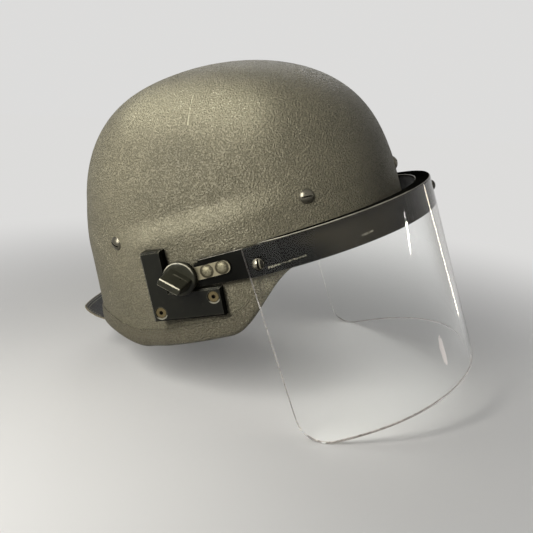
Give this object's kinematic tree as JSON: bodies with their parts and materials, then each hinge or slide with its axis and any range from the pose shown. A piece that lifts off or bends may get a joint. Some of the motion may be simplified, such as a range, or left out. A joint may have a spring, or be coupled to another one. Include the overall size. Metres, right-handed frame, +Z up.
{
  "type": "ballistic helmet with face shield",
  "caption": "Full-cut ballistic helmet: deep ear cover, webbing suspension and a curved clear face shield that raises on side brackets and is clamped by thumb knobs.",
  "frame": {"origin": "middle of the headband, where the wearer's head sits", "axes": "+X to the face, +Y to the wearer's left, +Z up; the helmet lies tipped back 20.7 degrees, so the wearer's own up is (-0.353, 0, 0.935)"},
  "size_m": [0.3685, 0.3026, 0.2801],
  "materials": {
    "shell_paint": "matte paint with a fine wrinkle over a pressed fibre shell",
    "trim_paint": "painted over with the shell's matte paint",
    "dark_screw": "dark paint worn bright",
    "brass_post": "dull",
    "zinc": "zinc plated",
    "web_olive": "woven webbing",
    "headband_leather": "padded, smooth",
    "black_moulding": "satin moulding",
    "black_webbing": "woven webbing",
    "black_cloth": "knitted cover over foam",
    "nape_leather": "soft cover over foam, stitched pale edge",
    "hook_and_loop": "hook-and-loop strip",
    "bracket_black": "satin black",
    "brassy_zinc": "yellow passivated",
    "white_nylon": "natural nylon",
    "band_black": "gloss black moulding",
    "clear_lens": "clear polycarbonate, polished",
    "arm_aluminium": "mill finish",
    "rivet_aluminium": "mill finish",
    "knob_black": "satin black with worn edges",
    "knob_brass": "turned"
  },
  "bodies": {
    "helmet": {"shell": "shell_paint", "edge_trim": "trim_paint", "suspension_screws": "dark_screw", "suspension_posts": "brass_post", "web_eyelets": "zinc", "suspension_web": "web_olive", "crown_straps": "web_olive", "headband": "headband_leather", "headband_clips": "black_moulding", "right_chin_strap": "black_webbing", "left_chin_strap": "black_webbing", "strap_slides": "black_moulding", "buckle_socket": "black_moulding", "buckle_prong": "black_moulding", "chin_pad": "black_cloth", "nape_pad": "nape_leather", "nape_pad_fastener": "hook_and_loop", "right_bracket": "bracket_black", "left_bracket": "bracket_black", "right_bracket_screws": "brassy_zinc", "left_bracket_screws": "brassy_zinc", "right_bracket_nuts": "zinc", "left_bracket_nuts": "zinc", "right_pivot_stud": "zinc", "left_pivot_stud": "zinc", "right_friction_washer": "white_nylon", "left_friction_washer": "white_nylon"},
    "visor": {"brow_band": "band_black", "visor_lens": "clear_lens", "lens_screws": "dark_screw", "lens_nuts": "zinc", "right_arm": "arm_aluminium", "left_arm": "arm_aluminium", "right_arm_rivets": "rivet_aluminium", "left_arm_rivets": "rivet_aluminium"},
    "right_clamp_knob": {"right_knob": "knob_black", "right_knob_insert": "knob_brass"},
    "left_clamp_knob": {"left_knob": "knob_black", "left_knob_insert": "knob_brass"}
  },
  "joints": [
    {"name": "visor_hinge", "type": "hinge", "parent": "helmet", "child": "visor", "pos_m": [-0.02033, 0, -0.0141], "axis": [0, -1, 0], "range_deg": [0, 84]},
    {"name": "right_knob_turn", "type": "hinge", "parent": "helmet", "child": "right_clamp_knob", "pos_m": [-0.02033, -0.14, -0.0141], "axis": [0, -1, 0], "range_deg": [0, 360]},
    {"name": "left_knob_turn", "type": "hinge", "parent": "helmet", "child": "left_clamp_knob", "pos_m": [-0.02033, 0.14, -0.0141], "axis": [0, 1, 0], "range_deg": [0, 360]}
  ]
}
